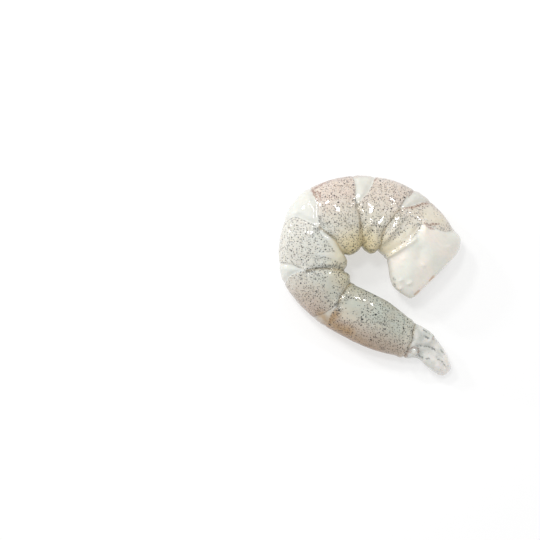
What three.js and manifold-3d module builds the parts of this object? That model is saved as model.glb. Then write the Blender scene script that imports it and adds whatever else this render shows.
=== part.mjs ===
// Raw peeled whiteleg shrimp: a headless, shell-less tail of flesh, curled up and lying on its side.
// Millimetres, +Z up. The animal's left-right axis stands upright, its back runs round the outside of the
// curl and its belly round the inside. The origin is the middle of the footprint, on the surface it lies on.
import * as THREE from "three";
import { mergeVertices } from "three/addons/utils/BufferGeometryUtils.js";
import Module from "manifold-3d";

// ---- Driving dimensions, in millimetres ------------------------------------------------------------

// Body places count joints: 0 is the cut at the neck, 1 to 7 bound the six segments of the abdomen, and
// 8.5 is the tip of the tail stub. A rib stands at every half place. "back" is its outer end and "belly" its inner end, seen from above,
// and "width" is the body's thickness there, from flank to flank.
const RIBS = [
  { back: [25.3, 9.0], belly: [10.4, -6.4], width: 12.6 },
  { back: [25.3, 10.9], belly: [6.0, -2.6], width: 14.2 },
  { back: [23.6, 12.9], belly: [4.5, 4.5], width: 15.2 },
  { back: [20.4, 17.1], belly: [3.4, 6.2], width: 15.4 },
  { back: [14.6, 22.7], belly: [2.2, 7.3], width: 15.2 },
  { back: [6.7, 26.6], belly: [0.0, 6.9], width: 15.6 },
  { back: [-2.0, 28.3], belly: [-2.8, 8.1], width: 15.2 },
  { back: [-11.2, 27.1], belly: [-5.0, 6.6], width: 15.6 },
  { back: [-21.1, 21.7], belly: [-7.3, 5.9], width: 14.8 },
  { back: [-25.3, 10.9], belly: [-6.9, 3.8], width: 14.8 },
  { back: [-25.2, 0.8], belly: [-7.3, 1.5], width: 13.8 },
  { back: [-21.3, -6.2], belly: [-5.9, 0.2], width: 13.2 },
  { back: [-14.0, -13.2], belly: [-4.9, -2.1], width: 11.4 },
  { back: [-1.4, -20.0], belly: [4.8, -6.9], width: 10.8 },
  { back: [9.4, -22.9], belly: [12.6, -13.0], width: 8.0 },
  { back: [13.4, -23.1], belly: [17.7, -16.4], width: 6.2 },
  { back: [17.2, -26.6], belly: [21.2, -20.8], width: 5.2 },
  { back: [19.2, -27.8], belly: [22.7, -24.4], width: 4.4 },
];
const LAST_PLACE = (RIBS.length - 1) / 2;

// The joints between segments. "hinge" is how far up the flank the joint pivots, from -1 at the belly to
// 1 at the back. Above it the joint opens into bare skin, "gap" places wide to each side at the back.
// Below it the segments press together in a crease, "crease" deep. "lean" carries the hinge towards the
// tail, in places.
const JOINTS = [
  { at: 1, hinge: 0.1, gap: 0.0, crease: 0.5, lean: 0.3 },
  { at: 2, hinge: 0.2, gap: 0.2, crease: 0.9, lean: 0.22 },
  { at: 3, hinge: 0.2, gap: 0.2, crease: 1.1, lean: 0.09 },
  { at: 4, hinge: 0.1, gap: 0.27, crease: 1.3, lean: 0.0 },
  { at: 5, hinge: 0.16, gap: 0.2, crease: 1.0, lean: 0.0 },
  { at: 6, hinge: -0.1, gap: 0.2, crease: 0.8, lean: 0.0 },
  { at: 7, hinge: 0.5, gap: 0.0, crease: 0.4, lean: 0.0 },
];
const SKIN_STEP = 0.25; // how far a pigmented plate stands proud of the bare skin beside it
const SKIN_BULGE = 0.4; // how far bare skin swells in the middle of a gap
const CREASE_HALF_WIDTH = 0.07; // in places
const LEAN_HEIGHT = 0.6; // how far up and down the flank a joint's lean reaches, as a half width
const LEAN_REACH = 0.42; // how far along the body it reaches, in places
const HINGE_BLEND = 0.2; // the crease fades in over this much of the flank, above and below its hinge
const BARREL = 0.3; // how far each segment swells between its joints
const BARREL_BLEND = 0.3; // in places, where the swelling begins behind the neck and ends at the tail
const UNEVEN = 0.22; // the soft unevenness of flesh

const BELLY_GROOVE = 2.0; // depth of the groove along the belly, between the two rows of lobes
const GROOVE_HALF_ANGLE = 0.28; // radians round the section
const BELLY_REACH = 1.09; // the lobes beside the groove swell past an oval section by this factor
const BELLY_SPREAD = 0.1; // the body is this share wider at the belly than at the back
const SECTION_POWER = 2.25; // 2 is an ellipse, more is squarer
const SAG = 0.95; // the resting flank flattens until the body's middle is this share of its half width up

const NECK_BULGE = 1.0; // how far the cut flesh swells out of the neck
const NECK_RIM = 0.55; // under 1, the rim of the cut is rounder than a quarter circle
const TAIL_ROUNDING = 1.7; // how far the tail stub rounds off past its last rib

const AROUND = 40; // facets round the body
const ROUNDS = 112; // rings along it, with the two ends
const NECK_ROUNDS = 7; // rings over the cut face
const TAIL_ROUNDS = 6; // rings over the tip of the tail
const CROWDING = 0.5; // 0 spaces the rings evenly, 1 puts the most at the joints

// What peeling leaves of the tail fan: soft blades and knuckles that stand a little out of the stub.
// "up" is the height of a lobe's middle.
const STUB_LOBES = {
  innerBlade: { from: [12.6, -15.0], to: [17.4, -18.2], width: 3.9, thick: 4.0, up: 4.7 },
  innerKnuckle: { from: [16.7, -17.0], to: [17.4, -17.6], width: 2.6, thick: 2.6, up: 5.5 },
  rimBlade: { from: [18.5, -19.2], to: [21.7, -25.6], width: 2.8, thick: 3.6, up: 3.7 },
  outerBlade: { from: [14.2, -21.0], to: [19.4, -26.0], width: 4.0, thick: 3.8, up: 4.2 },
  fanKnuckle: { from: [11.6, -21.4], to: [12.8, -21.4], width: 2.4, thick: 3.2, up: 5.5 },
};
const LOBE_OVERRUN = 0.6; // a lobe's rounded ends run past its two points by this share of its width
const LOBE_AROUND = 16;
const LOBE_ROUNDS = 10;

// ---- The body's frame ------------------------------------------------------------------------------

// One smooth line through a value at every half place.
function lineThrough(values) {
  const curve = new THREE.CatmullRomCurve3(values, false, "catmullrom", 0.5);
  return (place) => curve.getPoint(THREE.MathUtils.clamp(place / LAST_PLACE, 0, 1));
}

const backLine = lineThrough(RIBS.map((rib) => new THREE.Vector3(...rib.back, 0)));
const bellyLine = lineThrough(RIBS.map((rib) => new THREE.Vector3(...rib.belly, 0)));
const widthLine = lineThrough(RIBS.map((rib) => new THREE.Vector3(rib.width, 0, 0)));

// Rises from 0 to 1 between two values, smoothly.
const smoothRise = THREE.MathUtils.smoothstep;

// A bell of height 1 at 0, which is 0.37 at one half width.
const bell = (x, halfWidth) => Math.exp(-((x / halfWidth) ** 2));

// A power that keeps the sign, which squares up a sine or cosine into a rounder or boxier section.
const signedPower = (x, power) => Math.sign(x) * Math.abs(x) ** power;

// ---- The relief of the flesh -----------------------------------------------------------------------

// Joints lean towards the tail half way up the flank, and the skin around them leans along.
function leanAt(place, height) {
  let lean = 0;
  for (const joint of JOINTS) {
    lean += joint.lean * bell(height - joint.hinge, LEAN_HEIGHT) * bell(place - joint.at, LEAN_REACH);
  }
  return lean;
}

// How far the flesh stands out at a place and height: plates, bare skin between them, and creases.
// Height on the flank runs from -1 at the belly to 1 at the back.
function relief(place, height, side) {
  let outward = 0;
  for (const joint of JOINTS) {
    const away = place - joint.at;
    const aboveHinge = THREE.MathUtils.clamp((height - joint.hinge) / (1 - joint.hinge), 0, 1);
    const halfGap = joint.gap * aboveHinge;
    const pastEdge = Math.abs(away) - halfGap;
    if (pastEdge < 0) {
      const across = away / halfGap;
      outward += SKIN_BULGE * (1 - across * across) * smoothRise(halfGap, 0, joint.gap) - SKIN_STEP;
    } else {
      outward -= SKIN_STEP * bell(pastEdge, CREASE_HALF_WIDTH);
    }
    const belowHinge = 1 - smoothRise(height, joint.hinge - HINGE_BLEND, joint.hinge + HINGE_BLEND);
    outward -= joint.crease * belowHinge * bell(away, CREASE_HALF_WIDTH);
  }
  const inSegments = smoothRise(place, 1, 1 + BARREL_BLEND) * (1 - smoothRise(place, 6, 6 + BARREL_BLEND));
  outward += BARREL * inSegments * (Math.sin(Math.PI * place) ** 2 - 0.5);
  const waves = Math.sin(2.3 * place + 1.7 * height + side) + Math.sin(3.7 * place - 2.9 * height - 2 * side);
  return outward + 0.5 * UNEVEN * waves;
}

// ---- The body --------------------------------------------------------------------------------------

// A point of the body's skin. "angle" runs round the section from the back, over the upper flank.
// "shrink" draws the section in towards its middle, and "push" moves it along the body, out of an end.
function skinPoint(place, angle, shrink, push) {
  const height = Math.cos(angle);
  const side = Math.sin(angle);
  const rib = place + leanAt(place, height) * shrink;
  const back = backLine(rib);
  const belly = bellyLine(rib);
  const halfDepth = back.distanceTo(belly) / 2;
  const halfWidth = widthLine(rib).x / 2;
  const towardsBack = back.clone().sub(belly).normalize();
  const towardsTail = new THREE.Vector3(-towardsBack.y, towardsBack.x, 0);

  const groove = BELLY_GROOVE * bell(Math.abs(angle - Math.PI), GROOVE_HALF_ANGLE) * (halfDepth / 10);
  const standOut = relief(place, height, side) * shrink;
  const power = 2 / SECTION_POWER;
  const reach = halfDepth * (height < 0 ? BELLY_REACH : 1);
  const along = signedPower(height, power) * reach + groove + standOut * height;
  const across = signedPower(side, power) * halfWidth * (1 - BELLY_SPREAD * height) + standOut * side;

  const middle = back.add(belly).multiplyScalar(0.5);
  const point = middle.addScaledVector(towardsBack, along * shrink).addScaledVector(towardsTail, push);
  point.z = Math.max(0, halfWidth * SAG + across * shrink);
  return point;
}

// The place, shrink and push of each ring, from the middle of the cut face to the tip of the tail end.
// Rings over an end share its place: they draw in and move out along a quarter circle. The rings between
// crowd together at the joints, where the relief is.
function ringAt(index) {
  const skinRounds = ROUNDS - NECK_ROUNDS - TAIL_ROUNDS;
  if (index < NECK_ROUNDS) {
    const turn = (index / NECK_ROUNDS) * (Math.PI / 2);
    return { place: 0, shrink: Math.sin(turn) ** NECK_RIM, push: -NECK_BULGE * Math.cos(turn) };
  }
  if (index > NECK_ROUNDS + skinRounds) {
    const turn = ((index - NECK_ROUNDS - skinRounds) / TAIL_ROUNDS) * (Math.PI / 2);
    return { place: LAST_PLACE, shrink: Math.cos(turn), push: TAIL_ROUNDING * Math.sin(turn) };
  }
  const even = ((index - NECK_ROUNDS) / skinRounds) * LAST_PLACE;
  return { place: even - (CROWDING * Math.sin(2 * Math.PI * even)) / (2 * Math.PI), shrink: 1, push: 0 };
}

// A sphere whose rings are laid along the body, one after another.
function makeBody() {
  const geometry = new THREE.SphereGeometry(1, AROUND, ROUNDS);
  const position = geometry.getAttribute("position");
  const perRing = AROUND + 1;
  for (let i = 0; i < position.count; i += 1) {
    const ring = ringAt(Math.floor(i / perRing));
    const angle = ((i % perRing) % AROUND) * ((2 * Math.PI) / AROUND);
    position.setXYZ(i, ...skinPoint(ring.place, angle, ring.shrink, ring.push).toArray());
  }
  return geometry;
}

// ---- The tail stub ---------------------------------------------------------------------------------

// One soft lobe: a ball stretched from one point to another, and never below the surface it lies on.
function makeLobe(lobe) {
  const from = new THREE.Vector2(...lobe.from);
  const to = new THREE.Vector2(...lobe.to);
  const run = to.clone().sub(from);
  const middle = from.add(to).multiplyScalar(0.5);
  const geometry = new THREE.SphereGeometry(1, LOBE_AROUND, LOBE_ROUNDS);
  geometry.rotateZ(Math.PI / 2);
  geometry.scale((run.length() + lobe.width * LOBE_OVERRUN) / 2, lobe.width / 2, lobe.thick / 2);
  geometry.rotateZ(run.angle());
  geometry.translate(middle.x, middle.y, lobe.up);
  const position = geometry.getAttribute("position");
  for (let i = 0; i < position.count; i += 1) {
    position.setZ(i, Math.max(0, position.getZ(i)));
  }
  return geometry;
}

// ---- Joining, and the finished part ----------------------------------------------------------------

const wasm = await Module();
wasm.setup();

function toSolid(geometry) {
  geometry.deleteAttribute("normal");
  geometry.deleteAttribute("uv");
  const merged = mergeVertices(geometry, 1e-4);
  const vertProperties = merged.getAttribute("position").array;
  const triVerts = new Uint32Array(merged.index.array);
  return new wasm.Manifold(new wasm.Mesh({ numProp: 3, vertProperties, triVerts }));
}

function toGeometry(solid) {
  const mesh = solid.getMesh();
  const geometry = new THREE.BufferGeometry();
  geometry.setAttribute("position", new THREE.BufferAttribute(mesh.vertProperties, 3));
  geometry.setIndex(new THREE.BufferAttribute(mesh.triVerts, 1));
  return geometry;
}

let flesh = toSolid(makeBody());
for (const lobe of Object.values(STUB_LOBES)) {
  flesh = flesh.add(toSolid(makeLobe(lobe)));
}

const geometry = toGeometry(flesh);
geometry.computeBoundingBox();
const middle = geometry.boundingBox.getCenter(new THREE.Vector3());
geometry.translate(-middle.x, -middle.y, -geometry.boundingBox.min.z);
geometry.computeVertexNormals();

const wetFlesh = new THREE.MeshStandardMaterial({ color: 0xe2ded2, roughness: 0.3, metalness: 0 });
const shrimp = new THREE.Mesh(geometry, wetFlesh);
shrimp.name = "shrimp";

const part = new THREE.Group();
part.add(shrimp);

export default part;
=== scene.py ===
# %% [markdown]
# # A raw peeled whiteleg shrimp
#
# This lesson dresses one shrimp, as it lies on a fishmonger's counter: a headless tail of raw flesh, out
# of its shell, curled up on its side. Its plain solid is already there, at its real size, and is loaded
# as a frame. What is made here takes that solid's place, so nothing is scaled or fitted by eye.

# %% Load the plain solid
import math

import bpy
import numpy as np
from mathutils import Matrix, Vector, noise


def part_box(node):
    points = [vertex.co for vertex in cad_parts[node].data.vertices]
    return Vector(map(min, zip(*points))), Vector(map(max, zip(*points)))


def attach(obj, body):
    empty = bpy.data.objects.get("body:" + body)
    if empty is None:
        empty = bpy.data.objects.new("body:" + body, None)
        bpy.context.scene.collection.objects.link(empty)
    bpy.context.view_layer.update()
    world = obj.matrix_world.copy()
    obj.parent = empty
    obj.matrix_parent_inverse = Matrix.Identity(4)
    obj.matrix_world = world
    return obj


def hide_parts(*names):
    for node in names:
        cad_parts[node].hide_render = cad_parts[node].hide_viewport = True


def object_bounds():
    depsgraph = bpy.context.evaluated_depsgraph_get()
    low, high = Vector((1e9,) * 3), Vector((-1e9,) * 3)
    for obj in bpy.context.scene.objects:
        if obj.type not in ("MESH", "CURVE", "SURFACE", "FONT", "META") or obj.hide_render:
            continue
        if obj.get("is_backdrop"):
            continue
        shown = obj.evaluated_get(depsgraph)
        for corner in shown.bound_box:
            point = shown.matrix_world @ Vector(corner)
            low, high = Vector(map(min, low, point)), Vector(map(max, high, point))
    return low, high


MM = 0.001
SOLID = "shrimp"

for name in ("Cube", "Light", "Camera"):
    if name in bpy.data.objects:
        bpy.data.objects.remove(bpy.data.objects[name])
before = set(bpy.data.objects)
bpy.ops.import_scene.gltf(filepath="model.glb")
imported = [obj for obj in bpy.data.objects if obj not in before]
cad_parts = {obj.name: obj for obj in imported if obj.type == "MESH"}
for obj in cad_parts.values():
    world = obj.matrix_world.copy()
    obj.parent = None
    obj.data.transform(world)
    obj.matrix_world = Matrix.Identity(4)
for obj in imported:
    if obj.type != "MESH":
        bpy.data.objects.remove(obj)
cad_bounds = [list(corner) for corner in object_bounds()]
solid_low, solid_high = (Vector(corner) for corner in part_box(SOLID))
print("plain solid, mm:", [round(side / MM, 1) for side in solid_high - solid_low])

# %% [markdown]
# ## The camera
#
# The photograph looks straight down on the shrimp from far enough away that it shows no perspective. A
# long lens high above does the same. The shrimp lies to the right of the picture's middle, so the camera
# stands to the left of it. Moving the camera is better than shifting its lens, because other views keep
# the shift.

# %% Camera
PHOTO_SIDE = 540  # pixels
PIXEL = 0.28 * MM  # what one pixel spans on the shrimp
SHRIMP_PIXEL = (370, 276)  # where the middle of the shrimp's footprint is in the photograph
LENS = 135 * MM
SENSOR = 36 * MM

camera_x = (PHOTO_SIDE / 2 - SHRIMP_PIXEL[0]) * PIXEL
camera_y = (SHRIMP_PIXEL[1] - PHOTO_SIDE / 2) * PIXEL
camera_z = solid_high.z / 2 + PHOTO_SIDE * PIXEL * LENS / SENSOR
bpy.ops.object.camera_add(location=(camera_x, camera_y, camera_z), rotation=(0, 0, 0))
camera = bpy.context.object
camera.name = "camera_from_above"
camera.data.lens = LENS / MM
camera.data.sensor_width = SENSOR / MM
bpy.context.scene.camera = camera
print("camera height, mm:", round(camera_z / MM))

# %% [markdown]
# ## Floor and light
#
# Wet flesh is told from dry by its glints: a small bright lamp gives small hard ones, and a large one gives
# a broad milky sheen. So the light comes from a pale sky, which keeps the shadows soft, and from a few small
# softboxes. Most stand on the left at different heights, as the glints in the photograph show. One more
# softbox behind the shrimp picks out the folds that the others miss.

# %% Floor and lamps
FLOOR_SIDE = 3.0
FLOOR_DROP = 0.05 * MM  # keeps the floor clear of the flesh that lies on it
FLOOR_PAINT = {
    "Base Color": (0.50, 0.50, 0.50, 1),
    "Roughness": 0.9,
    "Emission Color": (1, 1, 1, 1),
    "Emission Strength": 0.49,  # the photograph's floor is brighter than lamps this weak would make it
}
SKY_STRENGTH = 0.64
# degrees round from the right, degrees up, metres away, metres wide and high, and watts
LAMPS = {
    "left_window": (159, 10, 0.55, 0.09, 0.05, 0.54),
    "left_softbox": (142, 28, 0.55, 0.06, 0.06, 0.44),
    "high_left_softbox": (127, 47, 0.55, 0.07, 0.07, 0.54),
    "top_softbox": (120, 68, 0.60, 0.08, 0.08, 0.64),
    "back_softbox": (60, 50, 0.60, 0.05, 0.05, 0.26),
}


def set_inputs(node, settings):
    """Sets sockets of a node to plain values."""
    for name, setting in settings.items():
        node.inputs[name].default_value = setting


def add_lamp(name, turn, climb, distance, wide, high, watts):
    """A softbox that faces the shrimp."""
    turn, climb = math.radians(turn), math.radians(climb)
    to_lamp = Vector((math.cos(turn) * math.cos(climb), math.sin(turn) * math.cos(climb), math.sin(climb)))
    bpy.ops.object.light_add(type="AREA", location=to_lamp * distance)
    lamp = bpy.context.object
    lamp.name = name
    lamp.data.shape = "RECTANGLE"
    lamp.data.size = wide
    lamp.data.size_y = high
    lamp.data.energy = watts
    lamp.rotation_euler = (-to_lamp).to_track_quat("-Z", "Y").to_euler()


bpy.ops.mesh.primitive_plane_add(size=FLOOR_SIDE, location=(0, 0, -FLOOR_DROP))
floor = bpy.context.object
floor.name = "floor"
floor_paint = bpy.data.materials.new("floor_paint")
floor_paint.use_nodes = True
set_inputs(floor_paint.node_tree.nodes["Principled BSDF"], FLOOR_PAINT)
floor.data.materials.append(floor_paint)
floor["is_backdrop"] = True

for name, numbers in LAMPS.items():
    add_lamp(name, *numbers)

world = bpy.data.worlds.new("pale_studio")
world.use_nodes = True
set_inputs(world.node_tree.nodes["Background"], {"Color": (1, 1, 1, 1), "Strength": SKY_STRENGTH})
bpy.context.scene.world = world
bpy.context.scene.view_settings.view_transform = "Standard"

# %% [markdown]
# ## How a shrimp's tail is laid out
#
# Any point of the tail is found by three numbers. The place counts joints along the body: 0 is the cut at
# the neck, 1 to 7 bound the six segments, and 8.5 is the tip of the tail. The height runs across the body
# from -1 at the belly to 1 at the back, and the side runs from one flank to the other. The ribs say where
# the back and the belly are at every half place, so they curl the straight tail up.

# %% The ribs
# back x, back y, belly x, belly y and width from flank to flank, in millimetres
RIBS = np.array(
    [
        (25.3, 9.0, 10.4, -6.4, 12.6),
        (25.3, 10.9, 6.0, -2.6, 14.2),
        (23.6, 12.9, 4.5, 4.5, 15.2),
        (20.4, 17.1, 3.4, 6.2, 15.4),
        (14.6, 22.7, 2.2, 7.3, 15.2),
        (6.7, 26.6, 0.0, 6.9, 15.6),
        (-2.0, 28.3, -2.8, 8.1, 15.2),
        (-11.2, 27.1, -5.0, 6.6, 15.6),
        (-21.1, 21.7, -7.3, 5.9, 14.8),
        (-25.3, 10.9, -6.9, 3.8, 14.8),
        (-25.2, 0.8, -7.3, 1.5, 13.8),
        (-21.3, -6.2, -6.2, 0.0, 13.2),
        (-14.0, -13.2, -4.9, -2.1, 11.4),
        (-1.4, -20.0, 4.8, -6.9, 10.8),
        (9.4, -22.9, 12.6, -13.0, 8.0),
        (13.4, -23.1, 17.7, -16.4, 6.2),
        (17.2, -26.6, 21.2, -20.8, 5.2),
        (19.2, -27.8, 22.7, -24.4, 4.4),
    ]
)
LAST_PLACE = (len(RIBS) - 1) / 2


def rise(x, start, end):
    """0 before start, 1 after end, and a soft step between them."""
    t = np.clip((x - start) / (end - start), 0, 1)
    return t * t * (3 - 2 * t)


def bell(x, half_width):
    """A soft bump that is 1 at 0."""
    return np.exp(-((x / half_width) ** 2))


def rib_slopes():
    """How the ribs change at each rib, held back where a short gap meets a long one."""
    gaps = np.diff(np.vstack([2 * RIBS[0] - RIBS[1], RIBS, 2 * RIBS[-1] - RIBS[-2]]), axis=0)
    before, after = gaps[:-1], gaps[1:]
    slopes = (before + after) / 2
    for part in (slice(0, 2), slice(2, 4)):
        lengths = [np.linalg.norm(gap[:, part], axis=1) for gap in (before, after)]
        slopes[:, part] *= (2 * np.minimum(*lengths) / (lengths[0] + lengths[1]))[:, None]
    return slopes


RIB_SLOPES = rib_slopes()


def ribs_at(place):
    """The rib at each place, on one smooth line through all of them."""
    spot = np.clip(place, 0, LAST_PLACE) * 2
    first = np.minimum(spot.astype(int), len(RIBS) - 2)
    t = (spot - first)[:, None]
    start, end, leave, arrive = RIBS[first], RIBS[first + 1], RIB_SLOPES[first], RIB_SLOPES[first + 1]
    square = -3 * start + 3 * end - 2 * leave - arrive
    cube = 2 * start - 2 * end + leave + arrive
    return start + leave * t + square * t**2 + cube * t**3


along_back = ribs_at(np.linspace(0, LAST_PLACE, 400))[:, :2]
print("back line, mm:", round(float(np.hypot(*np.diff(along_back.T)).sum())))

# %% [markdown]
# ## A straight tail first
#
# Curled flesh is hard to model in place. So it starts as the animal does, straight: a disc for the middle
# of the cut, extruded ring by ring along the body, wider where a segment swells and narrower where two
# segments meet. Subdivision makes it round. A sculptor would carve the curl from a block, but then the
# segments wouldn't run evenly round it.

# %% Extrude the straight tail
STEP = 10 * MM  # length of one place while the tail is straight
AROUND = 32
RINGS_A_PLACE = 4
PINCH = 0.012  # how much narrower a ring is at a joint
NECK_RINGS = [(-0.10, 0.40), (-0.092, 0.76), (-0.06, 0.93), (-0.01, 0.99)]  # place, size
TAIL_RINGS = [(8.55, 0.93), (8.62, 0.74), (8.665, 0.42)]
ROUNDING_LEVELS = 2


def apply_modifier(modifier):
    """Makes a modifier's result the mesh itself."""
    piece = modifier.id_data
    bpy.ops.object.select_all(action="DESELECT")
    piece.select_set(True)
    bpy.context.view_layer.objects.active = piece
    bpy.ops.object.modifier_apply(modifier=modifier.name)


rings = list(NECK_RINGS)
for ring in range(1, int(LAST_PLACE * RINGS_A_PLACE) + 1):
    at_joint = ring % RINGS_A_PLACE == 0
    rings.append((ring / RINGS_A_PLACE, 1 - PINCH * at_joint))
rings += TAIL_RINGS

bpy.ops.object.select_all(action="DESELECT")
bpy.ops.mesh.primitive_circle_add(
    vertices=AROUND,
    radius=STEP * rings[0][1],
    fill_type="NGON",
    location=(STEP * rings[0][0], 0, 0),
    rotation=(0, math.pi / 2, 0),
)
tail = bpy.context.object
tail.name = "raw_shrimp"
bpy.ops.object.mode_set(mode="EDIT")
for (last_place, last_size), (place, size) in zip(rings, rings[1:]):
    bpy.ops.mesh.extrude_region_move(
        TRANSFORM_OT_translate={"value": (STEP * (place - last_place), 0, 0), "orient_type": "GLOBAL"}
    )
    growth = size / last_size
    bpy.ops.transform.resize(value=(1, growth, growth), center_override=(STEP * place, 0, 0))
bpy.ops.mesh.select_all(action="SELECT")
bpy.ops.mesh.normals_make_consistent(inside=False)
bpy.ops.object.mode_set(mode="OBJECT")
bpy.ops.object.transform_apply(location=True, rotation=True, scale=True)

rounding = tail.modifiers.new("rounding", "SUBSURF")
rounding.levels = ROUNDING_LEVELS
apply_modifier(rounding)
print("straight tail:", len(tail.data.polygons), "faces, mm:", [round(d / MM) for d in tail.dimensions])

# %% [markdown]
# ## Curl it up
#
# Each point of the straight tail moves to its rib. Across the body the section is a rounded box: a
# shrimp's flanks are flatter than an oval. A groove runs along the belly between two rows of lobes, and
# the flank that the shrimp lies on flattens against the surface.

# %% Curl
SECTION_POWER = 2.25  # 2 is an oval, more is squarer
BELLY_GROOVE = 2.0  # mm
GROOVE_FULL_AT = 10  # mm, half the body's depth where its groove is that deep
GROOVE_ANGLE = 0.28
BELLY_REACH = 1.09
BELLY_SPREAD = 0.1  # the body is this share wider at the belly than at the back
SAG = 0.95  # the middle of the body lies at this share of its half width
ON_AXIS = 1e-9  # closer to the middle line than this, a point has no direction


def read_points(mesh_object):
    """The vertices of a mesh as an array, in millimetres."""
    points = np.empty(len(mesh_object.data.vertices) * 3)
    mesh_object.data.vertices.foreach_get("co", points)
    return points.reshape(-1, 3) / MM


def write_points(mesh_object, points):
    """Puts the vertices where the array says, in millimetres."""
    mesh_object.data.vertices.foreach_set("co", (points * MM).ravel())
    mesh_object.data.update()


def curl(straight):
    """The place on the curled shrimp of each point of the straight tail."""
    place, across, side = (straight * MM / STEP).T
    size = np.hypot(across, side)
    height = np.divide(across, size, out=np.ones_like(size), where=size > ON_AXIS)
    flank = np.divide(side, size, out=np.zeros_like(size), where=size > ON_AXIS)
    rib = ribs_at(place)
    back, belly, half_width = rib[:, :2], rib[:, 2:4], rib[:, 4] / 2
    to_back = back - belly
    half_depth = np.hypot(*to_back.T) / 2
    to_back /= 2 * half_depth[:, None]
    to_tail = np.stack([-to_back[:, 1], to_back[:, 0]], axis=1)

    power = 2 / SECTION_POWER
    past_belly = np.arccos(np.clip(-height, -1, 1))
    groove = BELLY_GROOVE * bell(past_belly, GROOVE_ANGLE) * half_depth / GROOVE_FULL_AT
    reach = half_depth * np.where(height < 0, BELLY_REACH, 1)
    up = (np.sign(height) * np.abs(height) ** power * reach + groove) * size
    out = np.sign(flank) * np.abs(flank) ** power * half_width * (1 - BELLY_SPREAD * height) * size
    push = (place - np.clip(place, 0, LAST_PLACE)) * STEP / MM
    plan = (back + belly) / 2 + to_back * up[:, None] + to_tail * push[:, None]
    return np.column_stack([plan, np.maximum(0, half_width * SAG + out)])


write_points(tail, curl(read_points(tail)))
print("curled tail, mm:", np.ptp(read_points(tail), axis=0).round(1))

# %% [markdown]
# ## The tail stub's blades
#
# Peeling pulls the hard tail fan off its flesh. What is left is a soft stub of blades and knuckles that
# lie against each other. Each starts as a ball, stretched from its root to its tip. All are then melted
# into the body by a voxel remesh, which also gives the whole skin one even grid of small faces to sculpt.
# A Boolean would keep hard seams between the blades.

# %% Blades, and one skin over everything
# root x, root y, tip x, tip y, width, thickness and height of the middle, in millimetres
STUB_BLADES = {
    "inner_blade": (12.6, -15.0, 17.4, -18.2, 3.9, 4.0, 4.7),
    "inner_knuckle": (16.7, -17.0, 17.4, -17.6, 2.6, 2.6, 5.5),
    "rim_blade": (18.5, -19.2, 21.7, -25.6, 2.8, 3.6, 3.7),
    "outer_blade": (14.2, -21.0, 19.4, -26.0, 4.0, 3.8, 4.2),
    "fan_knuckle": (11.6, -21.4, 12.8, -21.4, 2.4, 3.2, 5.5),
}
BLADE_OVERRUN = 0.6  # share of its width by which a blade is longer than from root to tip
BALL_AROUND = 32
VOXEL = 0.29 * MM
RELAX_FACTOR = 0.5
RELAX_ROUNDS = 14


def add_blade(name, root_x, root_y, tip_x, tip_y, width, thick, up):
    """One soft blade of the stub, from its root to its tip."""
    bpy.ops.object.select_all(action="DESELECT")
    length = math.hypot(tip_x - root_x, tip_y - root_y) + width * BLADE_OVERRUN
    bpy.ops.mesh.primitive_uv_sphere_add(
        segments=BALL_AROUND,
        ring_count=BALL_AROUND // 2,
        radius=MM / 2,
        location=((root_x + tip_x) / 2 * MM, (root_y + tip_y) / 2 * MM, up * MM),
        rotation=(0, 0, math.atan2(tip_y - root_y, tip_x - root_x)),
        scale=(length, width, thick),
    )
    blade = bpy.context.object
    blade.name = name
    return blade


def smooth_out(name, factor, rounds):
    """Evens the skin out a little."""
    evening = tail.modifiers.new(name, "SMOOTH")
    evening.factor = factor
    evening.iterations = rounds
    apply_modifier(evening)


blades = [add_blade(name, *sizes) for name, sizes in STUB_BLADES.items()]
bpy.ops.object.select_all(action="DESELECT")
for piece in [*blades, tail]:
    piece.select_set(True)
bpy.context.view_layer.objects.active = tail
bpy.ops.object.join()
bpy.ops.object.transform_apply(location=True, rotation=True, scale=True)

skin = tail.modifiers.new("one_skin", "REMESH")
skin.mode = "VOXEL"
skin.voxel_size = VOXEL
skin.use_smooth_shade = True
apply_modifier(skin)
smooth_out("relax", RELAX_FACTOR, RELAX_ROUNDS)
print("one skin:", len(tail.data.vertices), "vertices")

# %% [markdown]
# ## Where each point of the skin is on the animal
#
# The sculpting below speaks of joints, backs and bellies, so every vertex first learns its own place,
# height and side. Each is found on the rib that passes through it.

# %% Place, height and side of every vertex
RIB_STEPS = 1701
CHUNK = 4000  # vertices that are looked up at once, which saves memory
RIB_REACH = (-0.08, 1.15)  # the flesh of a rib lies between these shares of the way from back to belly
OUTSIDE = 50.0  # how strongly a rib that ends short of a vertex is turned down
SPAN_STEPS = 20  # steps to each side over which the span of a place is measured
LEAST_SPAN = 1.5  # mm


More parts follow.
